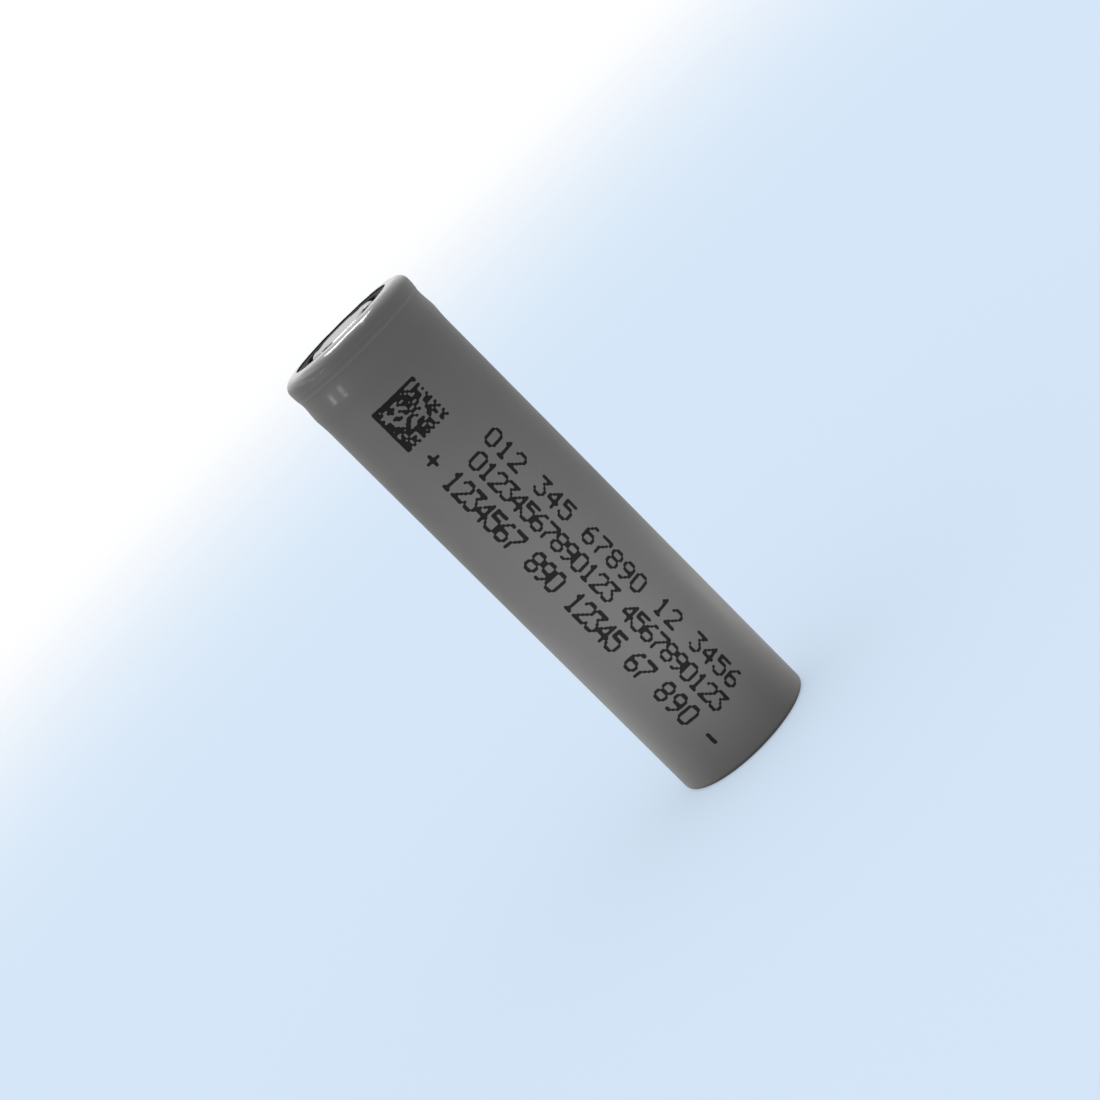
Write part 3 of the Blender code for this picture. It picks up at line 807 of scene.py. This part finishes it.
def makeInsulatorWasher():
    soft = washer["edgeRounding"]
    inner, outer = washer["opening"], washer["radius"]
    low, high = ringLow.z, ringHigh.z - washer["lowered"]
    outline = []
    for x, z, start in (
        (outer - soft, high - soft, 90.0),
        (outer - soft, low + soft, 0.0),
        (inner + soft, low + soft, -90.0),
        (inner + soft, high - soft, -180.0),
    ):
        outline += roundCorner((x, z), soft, start, start - 90.0, 3)
    outline.append(outline[0])
    item = turnedSkin("insulator_washer", outline, washer["segments"])
    settle(item, "insulating_board", "top_insulator_ring")


makeInsulatorWasher()


# stamped positive cap, with windows round its foot
cap = {
    "sheet": 0.35 * mm,
    "buttonRadius": 4.60 * mm,
    "buttonRounding": 0.40 * mm,
    "footRadius": 4.85 * mm,
    "dish": 0.03 * mm,
    "dishRadii": (2.2 * mm, 3.4 * mm),  # where the dish starts to rise, and its rim
    "topRows": 0.4 * mm,
    "windows": 4,
    "windowInner": 3.70 * mm,
    "windowSill": 0.12 * mm,
    "windowAngle": math.radians(-37.0),
    "windowSteps": 11,
    "segments": 160,
    "edgeRounding": 0.05 * mm,
}


def makeTerminalCap():
    flangeTop = capLow.z + cap["sheet"]
    rounding = cap["buttonRounding"]
    high = capHigh.z
    profile = [(0.0, high - cap["dish"])]
    for radius in stretchOf(0.0, cap["dishRadii"][1], cap["topRows"]):
        profile.append((radius, high - cap["dish"] * (1.0 - fade(*cap["dishRadii"], radius))))
    firstOpen = len(profile)
    profile += [(cap["windowInner"], high)]
    corner = (cap["buttonRadius"] - rounding, high - rounding)
    profile += roundCorner(corner, rounding, 90.0, 15.0, 8)
    wallTop = profile[-1]
    sill = flangeTop + cap["windowSill"]
    share = (wallTop[1] - sill) / (wallTop[1] - flangeTop)
    profile.append((wallTop[0] + (cap["footRadius"] - wallTop[0]) * share, sill))
    lastOpen = len(profile) - 1
    profile += [(cap["footRadius"], flangeTop), (capHigh.x, flangeTop)]
    spread = cap["segments"] // cap["windows"]
    half = cap["windowSteps"] // 2

    def gone(index, segment):
        place = (segment + half) % spread
        return firstOpen <= index < lastOpen and place < cap["windowSteps"]

    firstAngle = cap["windowAngle"] - math.pi / cap["segments"]
    item = turnedSkin("terminal_cap", profile, cap["segments"], None, firstAngle, gone)
    giveThickness(item, cap["sheet"])
    softenEdges(item, cap["edgeRounding"])
    settle(item, "cap_steel", "positive_cap")


makeTerminalCap()
print("washer and cap made")


# drawn steel can, seen through the film's bottom opening
can = {
    "wall": 0.22 * mm,
    "lipOpening": 6.60 * mm,
    "headRounding": 0.90 * mm,
    "filmGap": 0.10 * mm,  # from the film's outside to the can's outside
    "clearance": 0.03 * mm,  # extra room under the film's ripples
    "beadDrop": 3.30 * mm,
    "beadDepth": 1.15 * mm,
    "beadWidth": 0.42 * mm,
    "panelRadius": 5.20 * mm,
    "panelSlope": 0.12 * mm,
    "panelRise": 0.06 * mm,
    "segments": 160,
    "weldRadius": 0.55 * mm,
    "weldDepth": 0.03 * mm,
    "weldZone": 1.0 * mm,  # the dimples reach no higher
    "welds": ((-0.9 * mm, 0.0), (0.9 * mm, 0.0)),
    "headRows": 0.10 * mm,  # spacings of the rows of points
    "bodyRows": 3.0 * mm,
    "bottomRows": 0.5 * mm,
    "panelRows": 0.2 * mm,
}


def canRadius(drop):
    bead = can["beadDepth"] * hump(drop, can["beadDrop"], can["beadWidth"])
    return filmRadius(drop) - can["filmGap"] - bead


def canShift(angle, reach, radius, height):
    # spot welds press shallow dimples into the bottom's middle
    if radius > can["panelRadius"] or height > canLow.z + can["weldZone"]:
        return 0.0, 0.0
    x, y = radius * math.cos(angle), radius * math.sin(angle)
    press = 0.0
    for weldX, weldY in can["welds"]:
        press += hump(math.hypot(x - weldX, y - weldY), 0.0, can["weldRadius"])
    return -can["weldDepth"] * press, 0.0


def makeCanShell():
    rounding, clearance = can["headRounding"], can["clearance"]
    low, headTop = canLow.z, canHigh.z
    headRadius = film["headRadius"] - can["filmGap"] - clearance
    points = [(can["lipOpening"], headTop)]
    points += roundCorner((headRadius - rounding, headTop - rounding), rounding, 90.0, 0.0, 10)
    bottomCorner = film["bottomRounding"] - can["filmGap"]
    drops = stretchOf(cellTop - headTop + rounding, film["fineEnd"], can["headRows"])
    drops += stretchOf(film["fineEnd"], cellTop - low - bottomCorner, can["bodyRows"])[:-1]
    points += [(canRadius(drop) - clearance, cellTop - drop) for drop in drops]
    side = film["bodyRadius"] - can["filmGap"] - clearance
    points += roundCorner((side - bottomCorner, low + bottomCorner), bottomCorner, 0.0, -90.0, 8)
    panel, slope = can["panelRadius"], can["panelSlope"]
    flat = stretchOf(side - bottomCorner, panel + 2 * slope, can["bottomRows"])
    points += [(radius, low) for radius in flat]
    for share in (0.25, 0.5, 0.75, 1.0):
        points.append((panel + slope * (1.0 - share), low + can["panelRise"] * fade(0.0, 1.0, share)))
    middle = stretchOf(panel, 0.0, can["panelRows"])[:-1] + [0.0]
    points += [(radius, low + can["panelRise"]) for radius in middle]
    item = turnedSkin("can_shell", points, can["segments"], canShift)
    giveThickness(item, can["wall"])
    settle(item, "can_steel", "steel_can")


makeCanShell()
print("can made")


# dots of each printed sign, from the top line down
glyphs = {
    "0": (".###.", "#...#", "#...#", "#...#", "#...#", "#...#", ".###."),
    "1": ("..#..", ".##..", "..#..", "..#..", "..#..", "..#..", ".###."),
    "2": (".###.", "#...#", "....#", "...#.", "..#..", ".#...", "#####"),
    "3": ("#####", "...#.", "..#..", "...#.", "....#", "#...#", ".###."),
    "4": ("...#.", "..##.", ".#.#.", "#..#.", "#####", "...#.", "...#."),
    "5": ("#####", "#....", "####.", "....#", "....#", "#...#", ".###."),
    "6": ("..##.", ".#...", "#....", "####.", "#...#", "#...#", ".###."),
    "7": ("#####", "....#", "...#.", "..#..", ".#...", ".#...", ".#..."),
    "8": (".###.", "#...#", "#...#", ".###.", "#...#", "#...#", ".###."),
    "9": (".###.", "#...#", "#...#", ".####", "....#", "...#.", ".##.."),
    "+": (".....", "..#..", "..#..", "#####", "..#..", "..#..", "....."),
    "-": (".....", ".....", ".....", "#####", ".....", ".....", "....."),
    " ": (".....",) * 7,
}

printing = {
    "pitchDown": 0.316 * mm,  # between dots along the cell
    "spread": 0.64,  # how softly a dot's ink thins out, in pitches
    "level": 0.5,  # the ink ends where its amount falls to this
    "grid": 4,  # mesh steps to a pitch
    "reach": 1.5,  # of a dot's ink, in pitches
    "jitter": 0.05,
    "strengthJitter": 0.08,
    "rise": 0.010 * mm,
    "sunk": 0.006 * mm,
    "seed": 18,
    "codeCount": 18,
    "codeFill": 0.52,
    "codeDrop": 8.50 * mm,
    "codeArc": -4.33 * mm,
    "codePitchAround": 0.352 * mm,
}

textRows = (
    # text, drop of the first dots, arc of the lowest dots from the front,
    # pitch around, and columns for each sign
    ("012 345 67890 12 3456", 18.70 * mm, 2.46 * mm, 0.332 * mm, 6),
    ("01234567890123 4567890123", 19.27 * mm, -0.59 * mm, 0.323 * mm, 5),
    ("1234567 890 12345 67", 19.00 * mm, -4.33 * mm, 0.405 * mm, 5),
    ("890 -", 52.23 * mm, -4.33 * mm, 0.405 * mm, 6),
    ("+", 15.83 * mm, -4.20 * mm, 0.365 * mm, 6),
)


def textDots(text, columns):
    dots = set()
    for place, sign in enumerate(text):
        for line, marks in enumerate(reversed(glyphs[sign])):
            for column, mark in enumerate(marks):
                if mark == "#":
                    dots.add((place * columns + column, line))
    return dots


def codeDots(count, fill, draw):
    # a square of chance dots, with two solid sides and two dashed ones
    dots = set()
    for column in range(count):
        for line in range(count):
            if column == 0 or line == 0:
                dots.add((column, line))
            elif column == count - 1 or line == count - 1:
                if (column + line + count) % 2 == 0:
                    dots.add((column, line))
            elif draw.random() < fill:
                dots.add((column, line))
    return dots


def inkAmounts(dots, draw):
    # how much ink lies at each point of a grid, as the dots run together
    grid, spread = printing["grid"], printing["spread"]
    span = round(printing["reach"] * grid)
    amounts = {}
    for column, line in sorted(dots):
        jitter, uneven = printing["jitter"], printing["strengthJitter"]
        x = column + draw.uniform(-jitter, jitter)
        y = line + draw.uniform(-jitter, jitter)
        strength = 1.0 + draw.uniform(-uneven, uneven)
        for i in range(column * grid - span, column * grid + span + 1):
            for j in range(line * grid - span, line * grid + span + 1):
                away = (i / grid - x) ** 2 + (j / grid - y) ** 2
                amounts[i, j] = amounts.get((i, j), 0.0) + strength * math.exp(-away / spread ** 2)
    return amounts


def inkOutline(amounts):
    # the inked area as flat polygons on the grid, cut where the ink ends
    level = printing["level"]
    points, index, polygons = [], {}, []

    def pointFor(key, place):
        if key not in index:
            index[key] = len(points)
            points.append(place)
        return index[key]

    for i, j in sorted(amounts):
        corners = ((i, j), (i + 1, j), (i + 1, j + 1), (i, j + 1))
        values = [amounts.get(corner, 0.0) for corner in corners]
        polygon = []
        for side in range(4):
            here, there = corners[side], corners[(side + 1) % 4]
            low, high = values[side], values[(side + 1) % 4]
            if low > level:
                polygon.append(pointFor(here, here))
            if (low > level) != (high > level):
                share = (level - low) / (high - low)
                across = here[0] + (there[0] - here[0]) * share
                along = here[1] + (there[1] - here[1]) * share
                polygon.append(pointFor(tuple(sorted((here, there))), (across, along)))
        if len(polygon) > 2:
            polygons.append(polygon)
    return points, polygons


def wrapInk(points, polygons, drop, arc, pitchDown, pitchAround, verts, faces):
    # lay the flat polygons on the film as a thin closed layer
    base, count, grid = len(verts), len(points), printing["grid"]
    headDrop = cellTop - foldEnd()[2][1]
    for lift in (printing["rise"], -printing["sunk"]):
        for i, j in points:
            down = drop + i / grid * pitchDown
            angle = (arc + j / grid * pitchAround) / film["bodyRadius"] - math.pi / 2
            reach = foldReach() + down - headDrop
            radius = filmRadius(down) + filmRipple(angle, reach) + lift
            verts.append((radius * math.cos(angle), radius * math.sin(angle), cellTop - down))
    edges = set()
    for polygon in polygons:
        faces.append([base + corner for corner in polygon])
        faces.append([base + count + corner for corner in reversed(polygon)])
        edges.update(zip(polygon, polygon[1:] + polygon[:1]))
    for start, end in sorted(edges):
        if (end, start) not in edges:
            faces.append((base + end, base + start, base + count + start, base + count + end))


def makePrintedMarks():
    draw = random.Random(printing["seed"])
    verts, faces = [], []
    code = codeDots(printing["codeCount"], printing["codeFill"], draw)
    patches = [(code, printing["codeDrop"], printing["codeArc"], printing["codePitchAround"])]
    for text, drop, arc, pitchAround, columns in textRows:
        patches.append((textDots(text, columns), drop, arc, pitchAround))
    for dots, drop, arc, pitchAround in patches:
        points, polygons = inkOutline(inkAmounts(dots, draw))
        wrapInk(points, polygons, drop, arc, printing["pitchDown"], pitchAround, verts, faces)
    mesh = bpy.data.meshes.new("printed_marks")
    mesh.from_pydata(verts, [], faces)
    mesh.validate()
    item = bpy.data.objects.new("printed_marks", mesh)
    scene.collection.objects.link(item)
    mesh.materials.append(inkMaterial)
    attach(item, "cell")


makePrintedMarks()
print("marks printed")

makeCamera()
makeWorld()
makeFloor()
makeLights()
print("studio made")
